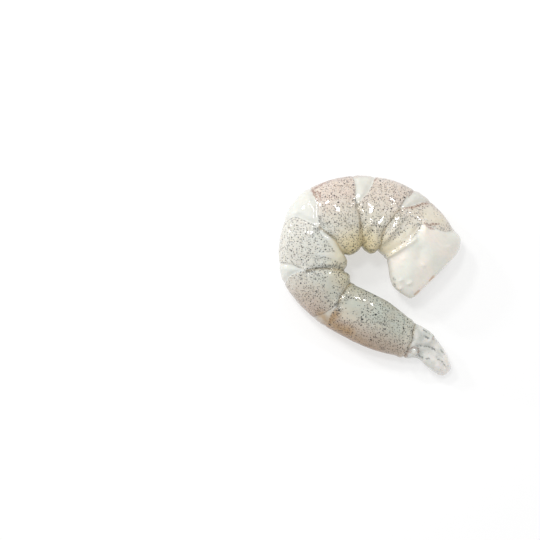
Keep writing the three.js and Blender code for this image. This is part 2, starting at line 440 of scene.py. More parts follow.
def find_body_places(points):
    """Place, height and side of each vertex, and the millimetres that one place spans there."""
    steps = np.linspace(0, LAST_PLACE, RIB_STEPS)
    rib = ribs_at(steps)
    back, run = rib[:, :2], rib[:, 2:4] - rib[:, :2]
    squared = (run**2).sum(axis=1)
    chosen = np.empty(len(points), dtype=int)
    for start in range(0, len(points), CHUNK):
        away = points[start : start + CHUNK, None, :2] - back[None]
        share = (away * run).sum(axis=2) / squared
        off = np.abs(away[..., 0] * run[:, 1] - away[..., 1] * run[:, 0]) / np.sqrt(squared)
        off += OUTSIDE * (np.maximum(0, RIB_REACH[0] - share) + np.maximum(0, share - RIB_REACH[1]))
        chosen[start : start + CHUNK] = off.argmin(axis=1)
    away = points[:, :2] - back[chosen]
    share = (away * run[chosen]).sum(axis=1) / squared[chosen]
    half_width = rib[chosen, 4] / 2
    side = (points[:, 2] - half_width * SAG) / half_width
    ahead = np.minimum(chosen + SPAN_STEPS, RIB_STEPS - 1)
    behind = np.maximum(chosen - SPAN_STEPS, 0)
    to_belly = share[:, None]
    near = [rib[step, :2] * (1 - to_belly) + rib[step, 2:4] * to_belly for step in (ahead, behind)]
    span = np.hypot(*(near[0] - near[1]).T) / (steps[ahead] - steps[behind])
    return {
        "place": steps[chosen],
        "height": 1 - 2 * share,
        "side": side,
        "span": np.maximum(span, LEAST_SPAN),
    }


body = find_body_places(read_points(tail))
for name, values in body.items():
    print(name, "from", values.min().round(2), "to", values.max().round(2))

# %% [markdown]
# ## Joints, plates and bare skin
#
# A raw shrimp still wears the thin, spotted skin that lay under its shell, one plate to a segment. Where
# the back is stretched open, smooth bare skin shows between two plates. Further down the flank the
# segments press together in a crease. Both edges of every joint are drawn here as lines over the flank.
# Where they run together there is a crease, and where they part there is bare skin.

# %% The lines of the joints
# Each joint is a line of (height, place) points over the flank, "closed" from the belly up to its hinge.
# From there its front and rear edges part. "step" is how fully the plates step down to the bare skin
# between them, and "crease" is how deep the closed part is, in millimetres. The neck has no closed part,
# and its bare flesh goes on to the cut. The joint of the tail is closed right over the back.
JOINTS = {
    "neck": {
        "hinge": -1.5,
        "closed": (),
        "front": ((-1, -9), (1, -9)),
        "rear": ((-1, 1.1), (-0.8, 1.19), (-0.34, 1.31), (-0.04, 1.46))
        + ((0.36, 1.66), (0.5, 1.4), (0.67, 1.16), (1, 1.0)),
        "step": 0.3,
        "crease": 0.0,
    },
    "one_two": {
        "hinge": 0.31,
        "closed": ((-1, 2.1), (-0.58, 2.33), (-0.21, 2.33), (0.31, 2.25)),
        "front": ((0.5, 2.07), (0.78, 1.94), (1, 1.79)),
        "rear": ((0.71, 2.23), (1, 2.19)),
        "step": 1.0,
        "crease": 0.5,
    },
    "two_three": {
        "hinge": 0.17,
        "closed": ((-1, 3.0), (-0.88, 2.93), (-0.3, 3.09), (0.17, 3.13)),
        "front": ((0.45, 2.94), (0.68, 2.87), (1, 2.81)),
        "rear": ((0.24, 3.17), (0.73, 3.15), (1, 3.19)),
        "step": 1.0,
        "crease": 0.7,
    },
    "three_four": {
        "hinge": 0.01,
        "closed": ((-1, 3.99), (-0.59, 3.93), (0.01, 4.04)),
        "front": ((0.1, 3.96), (0.51, 3.81), (1, 3.77)),
        "rear": ((0.38, 4.12), (0.74, 4.17), (1, 4.32)),
        "step": 1.0,
        "crease": 0.85,
    },
    "four_five": {
        "hinge": 0.17,
        "closed": ((-1, 4.96), (-0.42, 4.88), (0.17, 4.95)),
        "front": ((0.64, 4.83), (1, 4.83)),
        "rear": ((0.43, 4.97), (0.72, 5.06), (1, 5.21)),
        "step": 1.0,
        "crease": 0.5,
    },
    "five_six": {
        "hinge": -0.05,
        "closed": ((-1, 5.86), (-0.76, 5.88), (-0.05, 6.0)),
        "front": ((0.5, 5.95), (1, 5.86)),
        "rear": ((0.5, 6.03), (1, 6.08)),
        "step": 0.4,
        "crease": 0.4,
    },
    "tail": {
        "hinge": 1.2,
        "closed": ((-1, 6.99), (-0.58, 7.01), (0, 7.06), (0.41, 7.04), (1, 7.01)),
        "front": (),
        "rear": (),
        "step": 1.0,
        "crease": 0.35,
    },
}
LINE_BLUR = 0.06  # rounds the lines' corners


def edge_at(joint, edge, heights):
    """The place where a joint's front or rear edge crosses each height."""
    known_heights, places = zip(*joint["closed"], *joint[edge])
    shifts = (-LINE_BLUR, 0, LINE_BLUR)
    return sum(np.interp(heights + shift, known_heights, places) for shift in shifts) / len(shifts)


def past_edges(joint, body):
    """Millimetres past the joint's front edge, and millimetres before its rear edge."""
    front = (body["place"] - edge_at(joint, "front", body["height"])) * body["span"]
    rear = (edge_at(joint, "rear", body["height"]) - body["place"]) * body["span"]
    return front, rear


def past_hinge(joint, height, fade):
    """0 below the joint's hinge and 1 above it, with a soft step between two heights from the hinge."""
    return rise(height, joint["hinge"] + fade[0], joint["hinge"] + fade[1])


for name, joint in JOINTS.items():
    widest = (edge_at(joint, "rear", np.ones(1)) - edge_at(joint, "front", np.ones(1)))[0]
    print(name, "is open at the back by", round(float(widest), 2), "places")

# %% [markdown]
# ## Sculpt the joints
#
# Sculpting is moving every vertex along its own normal. Plates stand a little proud of the bare skin and
# end in a soft lip, bare skin swells, and creases are cut with a roll of flesh on each side. A brush in
# Sculpt Mode would do the same by hand, but a sum can be read, changed and run again.

# %% Large relief
# heights and widths in millimetres
PLATE_STEP = 0.14
STEP_SLOPE = (-0.2, 0.3)  # where the step down starts and ends, from the plate's edge
PLATE_LIP = 0.06
LIP_INSET = 0.4
LIP_WIDTH = 0.35
SKIN_SWELL = 0.4
SWELL_REACH = 1.8  # bare skin this far from a plate is swollen to its full
OPEN_FADE = (-0.05, 0.25)  # heights from the hinge over which a joint opens
CREASE_FADE = (-0.25, 0.1)  # and over which its crease ends
CREASE_WIDTH = 0.38
BELLY_FADE = (0.45, 0.95)  # heights down towards the belly over which a crease gets shallow
BELLY_LOSS = 0.85  # share of its depth that it loses there
ROLL = 0.25
ROLL_AWAY = 1.6
ROLL_WIDTH = 1.1
WANDER = 0.25  # how far a crease strays from its line, to and fro
WANDER_RATE = 9
WANDER_SHIFT = 2
HINGE_BUMPS = ((0.5, -0.7, 0.1, 0.8), (-0.45, 0.3, -0.5, 0.55))  # height, way right and up, and half width
BARREL = 0.3
BARREL_STARTS = (1.2, 1.6)  # places
BARREL_ENDS = (6.0, 6.4)
HALF_FULL = 0.5  # flesh this full stays where it is
FULL_FROM = 0.34  # places from a joint where the flesh is full
LOBE_SWELL = 0.35
LOBE_HEIGHT = -0.78
LOBE_SPREAD = 0.3
LOBES = ((1.6, 0.0), (2.3, 0.8), (3.6, 1.0), (4.3, 0.5), (5.2, 0.2), (5.8, 0.0))  # place and strength


def measure_skin():
    """Reads where the vertices are now, and which way they face."""
    normals = np.empty(len(tail.data.vertices) * 3)
    tail.data.vertex_normals.foreach_get("vector", normals)
    body["points"], body["normals"] = read_points(tail), normals.reshape(-1, 3)


def push_out(relief):
    """Moves each vertex along its normal by its relief in millimetres, but never below the surface."""
    measure_skin()
    moved = body["points"] + body["normals"] * relief(body)[:, None]
    moved[:, 2] = np.maximum(0, moved[:, 2])
    write_points(tail, moved)


def plan_point(place, height):
    """Where a place and height on the flank is, seen from above."""
    rib = ribs_at(np.array([float(place)]))[0]
    return (rib[:2] * (1 + height) + rib[2:4] * (1 - height)) / 2


def crease_relief(joint, body, middle):
    """A crease below the hinge, a roll of flesh on each side of it, and a small knob and pit at its top."""
    height, hinge = body["height"], joint["hinge"]
    closed = 1 - past_hinge(joint, height, CREASE_FADE)
    depth = joint["crease"] * (1 - BELLY_LOSS * rise(-height, *BELLY_FADE))
    roll = ROLL * bell(np.abs(middle) - ROLL_AWAY, ROLL_WIDTH)
    amount = closed * (roll - depth * bell(middle, CREASE_WIDTH))
    top = plan_point(edge_at(joint, "rear", np.array([hinge]))[0], hinge)
    off_x, off_y = (body["points"][:, :2] - top).T
    for high, right, up, half_width in HINGE_BUMPS:
        amount += high * bell(np.hypot(off_x - right, off_y - up), half_width)
    return amount


def joint_relief(body):
    """Steps and swellings at every joint, and its crease."""
    height, amount = body["height"], np.zeros(len(body["place"]))
    for number, (name, joint) in enumerate(JOINTS.items()):
        front, rear = past_edges(joint, body)
        bare = np.minimum(front, rear)
        swell = SKIN_SWELL * rise(bare, 0, SWELL_REACH)
        lip = PLATE_LIP * bell(bare + LIP_INSET, LIP_WIDTH)
        opened = joint["step"] * past_hinge(joint, height, OPEN_FADE)
        amount += opened * (swell + lip - PLATE_STEP * rise(bare, *STEP_SLOPE))
        if name != "neck":
            strays = WANDER * np.sin(WANDER_RATE * height + WANDER_SHIFT * number)
            amount += crease_relief(joint, body, (front - rear) / 2 + strays)
    return amount


def segment_relief(body):
    """Fuller flesh between the joints, most of all in the lobes beside the belly's groove."""
    place, height = body["place"], body["height"]
    full = np.ones(len(place))
    for name, joint in JOINTS.items():
        if name != "neck":
            front, rear = past_edges(joint, body)
            near = 1 - rise(np.abs(front - rear) / 2 / body["span"], 0, FULL_FROM)
            full = np.minimum(full, 1 - joint["crease"] * near)
    barrels = rise(place, *BARREL_STARTS) * (1 - rise(place, *BARREL_ENDS))
    lobes = np.interp(place, *zip(*LOBES)) * full * bell(height - LOBE_HEIGHT, LOBE_SPREAD)
    return BARREL * barrels * (full - HALF_FULL) + LOBE_SWELL * lobes


push_out(joint_relief)
push_out(segment_relief)
print("joints sculpted, mm:", np.ptp(read_points(tail), axis=0).round(1))

# %% [markdown]
# ## Folds and hollows
#
# The photograph shows single folds that no rule gives: pleats of bare skin that turn up between two
# segments, thin glossy folds beside the creases, and the soft ridge and hollow of the neck's muscle. Each
# is drawn as a line on the flank, seen from above, and raised or sunk beside it.

# %% Single folds
# points seen from above, half width at both ends, and height, in millimetres
FOLDS = {
    "joint_four_pleat": (
        ((-14.0, 12.6), (-12.3, 11.0), (-10.7, 9.4), (-9.3, 7.7), (-8.2, 6.2)),
        0.5,
        1.6,
        0.38,
    ),
    "under_that_pleat": (((-14.2, 11.4), (-12.4, 9.3), (-10.9, 7.6), (-9.6, 6.2)), 0.3, 0.5, -0.22),
    "over_that_pleat": (((-11.4, 12.2), (-9.4, 10.6), (-8.0, 8.8), (-7.4, 7.2)), 0.3, 0.5, -0.25),
    "segment_four_pleat": (((-15.2, 6.3), (-13.0, 6.1), (-10.5, 5.8), (-8.2, 5.2)), 0.5, 1.1, 0.16),
    "under_second_pleat": (((-14.4, 4.6), (-12.4, 4.3), (-10.4, 4.4)), 0.4, 0.5, -0.12),
    "joint_two_fold": (((7.2, 18.4), (5.5, 16.2), (4.3, 14.0)), 0.5, 0.6, 0.4),
    "segment_one_fold": (((3.0, 9.4), (4.6, 11.2), (6.2, 12.8), (7.4, 14.4)), 0.75, 0.45, 0.46),
    "beside_that_fold": (((3.9, 8.4), (5.7, 10.0), (7.5, 11.6)), 0.45, 0.45, -0.2),
    "neck_fold": (((4.6, 5.6), (6.0, 6.4), (8.2, 7.8), (10.2, 9.0), (12.0, 10.4)), 0.85, 0.5, 0.58),
    "over_neck_fold": (((5.0, 7.0), (7.4, 8.6), (9.6, 10.2), (11.6, 12.4), (13.4, 14.4)), 0.6, 0.4, -0.2),
    "neck_dimple": (((13.4, 7.4), (13.0, 5.2)), 0.9, 0.9, -0.2),
    "neck_bead_one": (((14.0, 3.3), (14.5, 3.1)), 0.45, 0.45, 0.26),
    "neck_bead_two": (((10.1, -2.1), (10.9, -1.5)), 0.4, 0.4, 0.28),
    "neck_bead_three": (((7.8, -1.2), (8.2, -1.0)), 0.4, 0.4, 0.24),
    "neck_bead_four": (((7.9, -3.4), (8.2, -3.2)), 0.4, 0.4, 0.24),
    "neck_bead_five": (((21.2, 8.3), (21.6, 8.3)), 0.4, 0.4, 0.2),
    "neck_bead_six": (((8.4, 4.8), (9.0, 5.1)), 0.5, 0.5, 0.18),
    "neck_top_fold": (((14.7, 13.8), (14.7, 12.2)), 0.4, 0.5, 0.2),
    "neck_ridge": (((14.5, 15.0), (14.7, 12.6), (15.2, 9.6), (16.6, 5.4)), 0.8, 2.4, 0.3),
    "neck_hollow": (((12.2, 12.4), (12.9, 8.8), (13.7, 4.8)), 0.8, 1.8, -0.24),
    "neck_low_ridge": (((9.8, 5.2), (10.8, 1.2), (12.4, -2.6)), 1.6, 1.6, 0.22),
    "neck_low_hollow": (((8.2, 2.2), (8.8, -1.0), (9.8, -3.6)), 0.8, 1.0, -0.16),
    "bare_four_ring": (((-17.0, 19.9), (-16.2, 19.3), (-15.6, 19.9), (-16.0, 20.6)), 0.4, 0.4, 0.14),
    "bare_four_fold": (((-18.4, 20.4), (-17.2, 21.4)), 0.5, 0.5, 0.16),
    "back_four_fold": (((-22.6, 13.8), (-22.0, 15.8), (-20.6, 18.2)), 0.6, 0.8, 0.16),
    "back_four_bump": (((-23.2, 10.8), (-22.9, 11.6)), 0.6, 0.6, 0.16),
    "joint_three_fold": (((-3.9, 19.2), (-3.7, 17.4), (-3.4, 15.6)), 0.45, 0.5, 0.42),
    "segment_two_fold": (((-2.6, 11.8), (-1.4, 13.4), (0.0, 14.8)), 0.65, 0.6, 0.42),
    "segment_four_bead": (((-19.2, 11.0), (-18.4, 12.0)), 0.45, 0.45, 0.16),
    "bare_five_fold": (((-24.0, 2.6), (-23.4, 1.4), (-23.0, -0.2)), 0.5, 0.6, 0.16),
    "segment_six_bead": (((-8.0, -9.0), (-7.0, -9.6)), 0.6, 0.6, 0.14),
    "segment_six_bead_two": (((-5.6, -10.4), (-4.8, -10.8)), 0.5, 0.5, 0.14),
    "segment_five_dent": (((-11.4, -2.0), (-11.8, -5.2), (-12.6, -7.6)), 1.6, 1.2, -0.14),
    "segment_six_fold": (((-7.4, -7.6), (-2.0, -10.0), (3.2, -13.2)), 1.8, 1.2, -0.16),
    "segment_six_crack": (((1.9, -12.7), (3.2, -13.4), (4.6, -13.7)), 0.4, 0.4, -0.2),
    "segment_six_bump": (((0.8, -14.4), (2.6, -15.4)), 0.8, 0.8, 0.2),
    "stub_seam": (
        ((12.8, -19.4), (15.0, -19.6), (17.0, -20.0), (18.6, -21.0), (20.0, -22.8)),
        0.45,
        0.35,
        -0.4,
    ),
    "stub_rim": (((19.0, -20.2), (20.4, -22.0), (21.6, -24.4), (21.2, -26.4)), 0.6, 0.6, 0.25),
    "stub_rim_seam": (((18.8, -22.6), (20.0, -23.8), (20.9, -25.4)), 0.3, 0.3, -0.25),
    "stub_slit": (((15.2, -16.9), (16.3, -17.5)), 0.4, 0.4, -0.4),
    "stub_knob_edge": (((17.3, -16.2), (17.8, -17.0), (17.6, -17.9)), 0.3, 0.3, -0.25),
    "stub_root_seam": (
        ((11.2, -21.6), (11.2, -20.6), (11.9, -19.9), (12.9, -20.0), (13.4, -21.0)),
        0.3,
        0.3,
        -0.3,
    ),
    "stub_low_fold": (((14.2, -23.0), (15.8, -24.0), (17.2, -25.4)), 0.5, 0.5, 0.2),
}
FOLD_FADE = 0.25  # folds are full where the skin's upward facing, squared, is over this


def line_nearness(points, line, start_width, end_width):
    """Distance from a hand-set line, seen from above, as a share of the line's half width there."""
    nearest = np.full(len(points), np.inf)
    widths = np.linspace(start_width, end_width, len(line))
    for start, end, width, next_width in zip(line, line[1:], widths, widths[1:]):
        start, run = np.array(start), np.subtract(end, start)
        away = points[:, :2] - start
        share = np.clip((away @ run) / (run @ run), 0, 1)
        distance = np.hypot(*(away - share[:, None] * run).T)
        nearest = np.minimum(nearest, distance / (width + (next_width - width) * share))
    return nearest


def fold_relief(body):
    """All the single folds, softened where the flank turns down."""
    amount = np.zeros(len(body["place"]))
    for line, start_width, end_width, height in FOLDS.values():
        amount += height * bell(line_nearness(body["points"], line, start_width, end_width), 1)
    return amount * rise(body["normals"][:, 2] ** 2, 0.0, FOLD_FADE)


push_out(fold_relief)
print(len(FOLDS), "folds, mm:", np.ptp(read_points(tail), axis=0).round(1))

# %% [markdown]
# ## The unevenness of flesh
#
# Nothing in flesh is quite even. Noise at two sizes gives slow waves in the muscle and small ripples in
# the skin, which break the glints up. Finer grain than the faces can hold is left to the material.

# %% Fine relief
WAVES = ((5.5, 0.16), (1.7, 0.05))  # size and height, mm
WRINKLE = 0.04
WRINKLE_GAP = 0.9
WRINKLE_REACH = 2.2
WRINKLE_FADE = (-0.3, 0.0)  # heights from the hinge
SETTLE_FACTOR = 0.4


def flesh_noise(points, size):
    """Smooth noise from -1 to 1 with lumps of about the given size."""
    return np.array([noise.noise(point) for point in (points / size).tolist()])


def skin_relief(body):
    """Slow waves, small ripples, and fine wrinkles that run beside the creases."""
    amount = sum(high * flesh_noise(body["points"], size) for size, high in WAVES)
    for joint in JOINTS.values():
        front, rear = past_edges(joint, body)
        middle = (front - rear) / 2
        closed = 1 - past_hinge(joint, body["height"], WRINKLE_FADE)
        waves = np.sin(2 * np.pi * middle / WRINKLE_GAP)
        amount += WRINKLE * closed * waves * bell(middle, WRINKLE_REACH)
    return amount


push_out(skin_relief)
smooth_out("settle", SETTLE_FACTOR, 1)
print("sculpted, mm:", np.ptp(read_points(tail), axis=0).round(1))

# %% [markdown]
# ## Where the colours lie
#
# The skin's colours follow its build: spots only on the plates, yellow in the folds of the belly, pink on
# the back, a milky bloom over segments four and five, and thin dark lines along the back and the belly's
# lobes. The line along the belly's lobes is painted shade where the flank turns away, and the creases get
# painted shade as well. Other marks are one animal's own, such as its stains and the two tan slivers left
# at the cut, though the tan at the back of segments five and six is partly painted shade. So each vertex
# also gets a few plain numbers, written as attributes that the material reads. Painted textures would need
# an unwrapped skin, and could not be sharper than their pixels. A distance in millimetres stays sharp,
# because the material turns it into a thin line itself.

# %% Tints along the body
# places and strengths along the body, then the two heights between which the tint grows to its full
TINTS = {
    "yellow": (
        ((1.2, 0.2), (2.1, 0.5), (2.7, 1.0), (3.6, 1.0), (4.2, 0.6), (4.9, 0.5), (5.7, 0.5), (6.3, 0.0)),
        (-0.2, -0.9),
    ),
    "pink": (
        ((0.9, 0.2), (1.8, 0.35), (2.4, 0.8), (3.7, 0.9), (4.3, 0.2), (5.2, 0.3), (5.7, 0.8), (6.9, 0.5)),
        (-0.2, 0.6),
    ),
    "grey": (
        ((1.6, 0.1), (2.3, 0.4), (3.6, 0.5), (4.2, 0.4), (5.2, 0.6))
        + ((6.0, 0.8), (6.6, 1.0), (7.0, 0.6), (7.1, 0.2)),
        (1.4, 0.5),
    ),
    # a rusty tan at the back of segments five and six, partly the flesh's own colour and partly painted shade
    "rust_and_shade": (
        ((4.9, 0.0), (5.3, 0.2), (5.7, 0.6), (6.0, 0.9), (6.4, 1.0), (6.8, 0.8), (7.05, 0.3), (7.1, 0.0)),
        (0.0, 1.0),
    ),
    "green": (
        ((3.7, 0.1), (4.0, 0.5), (4.5, 0.6), (5.0, 0.7), (5.4, 0.9), (6.0, 0.8), (6.5, 1.0), (7.0, 0.7)),
        (0.7, -0.4),
    ),
    "milky": (
        ((3.7, 0.0), (4.05, 1.0), (4.9, 0.9), (5.3, 0.4), (5.7, 0.0)),
        (-1.6, -1.2),
    ),
}
# places and strengths of the thin dark line along the middle of the back and of the line of painted shade
# along the belly's lobes where the flank turns away, and which way up from the middle of the flank they lie
RIM_LINES = {
    "back_line": (
        ((0.8, 0.1), (1.3, 0.5), (2.0, 0.5), (2.8, 0.2), (3.2, 0.9), (3.6, 0.9))
        + ((3.8, 0.1), (5.0, 0.15), (5.7, 0.6), (6.0, 1.0), (6.6, 0.9), (7.0, 0.2)),
        1,
    ),
    # painted shade: a dark olive line where the flank of the belly's lobes turns away at the outline
    "belly_shade_line": (
        ((1.8, 0.0), (2.3, 0.8), (3.0, 0.6), (3.6, 0.8), (4.0, 0.3))
        + ((4.9, 0.5), (5.6, 0.5), (6.2, 0.8), (6.8, 0.4), (7.0, 0.0)),
        -1,
    ),
}
print("tints:", list(TINTS), "and rim lines:", list(RIM_LINES))

# %% Marks drawn one by one
# lines seen from above and half widths at both ends, in millimetres
MARKS = {
    "dark_mm": (
        (((-14.3, 16.5), (-14.4, 15.4), (-14.0, 14.5)), 0.42, 0.42),
        (((-15.9, 13.3), (-15.0, 11.8)), 0.3, 0.2),
        (((-15.5, 2.5), (-13.4, 2.6), (-11.8, 2.9), (-10.0, 3.1)), 0.15, 0.26),
        (((-18.2, 1.6), (-15.9, 1.5)), 0.15, 0.2),
        (((-9.3, 2.9), (-8.8, 2.5)), 0.3, 0.25),
        (((-7.2, 1.5), (-7.8, 1.1)), 0.35, 0.2),
        (((-9.1, -6.8), (-10.0, -7.9)), 0.2, 0.26),
        (((-9.5, -8.3), (-8.2, -9.0)), 0.2, 0.2),
        (((-9.6, -10.4), (-9.5, -9.7), (-8.7, -9.3)), 0.15, 0.2),
        (((-5.9, -1.5), (-4.9, -2.2)), 0.35, 0.2),
        (((-5.0, 21.2), (-4.4, 20.6)), 0.35, 0.2),
        (((13.1, 14.5), (12.7, 14.2)), 0.28, 0.28),
        (((19.2, 13.1), (19.7, 13.1)), 0.28, 0.28),
        (((6.3, -0.4), (6.4, -1.0)), 0.25, 0.2),
        (((6.4, -2.1), (6.5, -2.7)), 0.25, 0.2),
        (((-5.4, 6.6), (-3.7, 7.6)), 0.25, 0.15),
        (((-2.2, 8.0), (-0.7, 7.3), (2.1, 7.3)), 0.25, 0.15),
        (((1.9, -12.7), (3.2, -13.4), (4.6, -13.7)), 0.16, 0.22),
        (((11.4, -15.4), (12.1, -14.7)), 0.3, 0.25),
        (((11.7, -16.7), (11.8, -18.0)), 0.25, 0.15),
        (((15.5, -17.0), (16.1, -17.4)), 0.2, 0.2),
        (((13.9, -19.5), (16.2, -19.7), (18.2, -20.5)), 0.12, 0.26),
        (((12.9, -19.6), (13.4, -20.3)), 0.25, 0.15),
        (((13.1, -22.1), (14.6, -22.8), (16.7, -23.2)), 0.2, 0.12),
        (((19.0, -23.3), (20.1, -23.9), (21.3, -25.3)), 0.1, 0.14),
        (((14.9, -15.1), (16.4, -15.9)), 0.12, 0.16),
        (((19.8, -20.7), (21.0, -21.9)), 0.16, 0.1),
    ),
    "brown_mm": (
        (((-16.4, 23.8), (-15.7, 22.5), (-14.9, 21.0)), 0.25, 0.2),
        (((-15.0, 23.6), (-14.4, 22.5), (-14.2, 21.1)), 0.25, 0.15),
        (((-16.6, 23.9), (-14.1, 25.6), (-12.0, 26.7)), 0.3, 0.15),
        (((9.0, 18.9), (12.3, 19.3), (13.9, 20.2), (16.2, 20.7), (17.4, 20.5)), 0.16, 0.24),
        (((14.6, 14.7), (16.0, 13.4), (17.3, 13.1)), 0.24, 0.12),
        (((16.4, 14.5), (18.8, 14.6)), 0.25, 0.1),
        (((10.6, -20.9), (10.2, -22.0), (9.6, -22.8)), 0.15, 0.28),
        (
            ((11.1, -21.3), (11.1, -20.5), (11.7, -19.9), (12.7, -19.8), (13.4, -20.4), (13.5, -21.3)),
            0.1,
            0.16,
        ),
        (((11.9, 24.1), (10.2, 22.1)), 0.2, 0.1),
        (((1.6, 27.6), (0.9, 26.7)), 0.25, 0.15),
        (((17.6, -16.9), (17.5, -17.6)), 0.2, 0.15),
    ),
    "crowd_mm": (
        (((-13.9, 14.3), (-12.5, 14.0), (-11.1, 13.5), (-9.8, 12.5)), 0.75, 0.75),
        (((-8.4, -1.3), (-7.3, -2.7), (-7.7, -4.1), (-8.4, -5.6)), 0.9, 0.9),
        (((-3.2, 18.8), (-2.8, 16.7), (-2.5, 14.6)), 0.6, 0.6),
        (((10.9, 18.3), (10.8, 16.9), (12.0, 16.0), (13.0, 15.2)), 0.9, 0.9),
        (((0.4, -11.8), (3.2, -13.2), (5.7, -14.8)), 1.2, 1.2),
        (((-9.8, -6.7), (-8.6, -8.3), (-8.9, -9.7)), 0.8, 0.8),
        (((-7.3, -14.1), (-4.2, -13.7)), 1.3, 1.3),
        (((11.1, -14.1), (11.7, -16.5), (12.0, -18.3)), 0.7, 0.7),
    ),
    # tan patches at the back of segments five and six, partly the flesh's own colour and partly painted shade
    "tan_and_shade_mm": (
        (((-14.1, -10.9), (-12.7, -12.2), (-11.2, -13.4)), 1.2, 1.2),
        (((-9.8, -10.4), (-11.4, -12.4), (-12.2, -14.0)), 1.1, 2.0),
        (((-13.0, -13.4), (-11.4, -15.0), (-9.5, -16.1), (-7.3, -16.1)), 1.4, 1.2),
        (((-9.6, -14.4), (-6.6, -15.6)), 1.7, 1.7),
        (((-8.9, -16.5), (-5.2, -17.8), (-0.5, -19.8), (3.7, -21.6)), 1.3, 0.6),
    ),
    "sliver_mm": (
        (((16.2, -1.2), (17.2, -0.1)), 0.3, 0.4),
        (((12.1, -5.0), (13.2, -4.2)), 0.25, 0.45),
    ),
    "sparse_mm": (
        (((-11.2, -0.6), (-11.6, -3.4)), 1.4, 1.2),
        (((-6.8, -8.2), (-3.4, -8.0)), 1.6, 1.2),
        (((3.2, 7.2), (6.0, 8.6), (8.6, 10.8), (11.0, 12.6)), 2.0, 1.2),
        (((4.4, 5.0), (7.0, 6.4), (9.6, 8.2), (12.4, 10.6)), 1.1, 0.9),
        (((16.0, 17.6), (19.6, 16.0)), 1.8, 1.8),
        (((-7.6, -10.8), (-4.6, -11.6)), 1.2, 0.8),
    ),
}
# pleats whose pigment has gone, so they look bare though they lie on a plate
SMOOTH_PLEATS = (
    (((-14.2, 12.6), (-12.5, 10.9), (-10.9, 9.5), (-9.5, 7.9), (-8.4, 6.5)), 0.4, 1.5),
    (((-15.0, 6.3), (-13.0, 6.1), (-10.5, 5.8), (-8.4, 5.2)), 0.3, 1.4),
)
FAR = 9.0  # mm, further than any edge matters
STEEP = 2.0  # mm by which a mark seems further away on a wall that it would run down
STEEP_UNDER = 0.45  # a wall is skin that faces up by less than this


def mark_distance(body, marks):
    """Millimetres outside the nearest of the marks."""
    nearest = np.full(len(body["place"]), FAR)
    for line, start_width, end_width in marks:
        width = (start_width + end_width) / 2
        away = line_nearness(body["points"], line, start_width, end_width) - 1
        nearest = np.minimum(nearest, away * width)
    return nearest + STEEP * (1 - rise(np.abs(body["normals"][:, 2]), 0.0, STEEP_UNDER))


print({name: len(marks) for name, marks in MARKS.items()})

# %% Write the attributes
CREASE_SHADE_TOP = 0.05  # how far above its hinge a crease still gets painted shade, in heights
RIM_TILT, RIM_TILT_SPREAD = 0.1, 0.35  # how far up the skin faces where a rim line shows
RIM_SIDES = (-0.5, -0.1)  # sides between which a rim line comes in, from the flank it lies on
RIM_HEIGHTS = (0.5, 0.8)
NECK_EDGE = (-0.6, 0.9)  # mm before the neck's rear edge
STUB_STARTS = (7.0, 7.12)  # places
TIP_STARTS = (7.5, 8.3)


def joint_distances(body):
    """Millimetres onto the nearest plate, and millimetres from the nearest crease."""
    plate = mark_distance(body, SMOOTH_PLEATS)
    crease = np.full(len(plate), FAR)
    for name, joint in JOINTS.items():
        front, rear = past_edges(joint, body)
        plate = np.minimum(plate, -np.minimum(front, rear))
        if name != "neck":
            closed = body["height"] < joint["hinge"] + CREASE_SHADE_TOP
            crease = np.where(closed, np.minimum(crease, np.abs(front - rear) / 2), crease)
    return plate, crease


def paint(body):
    """Every attribute of the skin."""
    place, height = body["place"], body["height"]
    colours = dict(zip(("plate_mm", "crease_mm"), joint_distances(body)))
    for name, (line, (start, end)) in TINTS.items():
        comes_in = rise(height, start, end) if end > start else 1 - rise(height, end, start)
        colours[name] = np.interp(place, *zip(*line)) * comes_in
    for name, marks in MARKS.items():
        colours[name] = mark_distance(body, marks)
    rim = bell(body["normals"][:, 2] - RIM_TILT, RIM_TILT_SPREAD) * rise(body["side"], *RIM_SIDES)
    for name, (line, way) in RIM_LINES.items():
        colours[name] = np.interp(place, *zip(*line)) * rim * rise(way * height, *RIM_HEIGHTS)
    colours["neck"] = rise(past_edges(JOINTS["neck"], body)[1], *NECK_EDGE)
    colours["stub"] = rise(place, *STUB_STARTS)
    colours["tip"] = rise(place, *TIP_STARTS)
    return colours


measure_skin()
for name, values in paint(body).items():
    attribute = tail.data.attributes.new(name, "FLOAT", "POINT")
    attribute.data.foreach_set("value", values.astype(np.float32))
print("attributes:", [attribute.name for attribute in tail.data.attributes if attribute.data_type == "FLOAT"])

# %% [markdown]
# ## Shader sums in plain Python
#
# A finish is a web of nodes, which is slow to read. One small class wraps a socket, so that sums on it
# are written as sums and add their own Math nodes. Colours are mixed by Mix nodes, because a Math node
# would turn them grey.

# %% A value that can be reckoned with
CLOUD_MIDDLE = 0.5  # what a cloud is on average


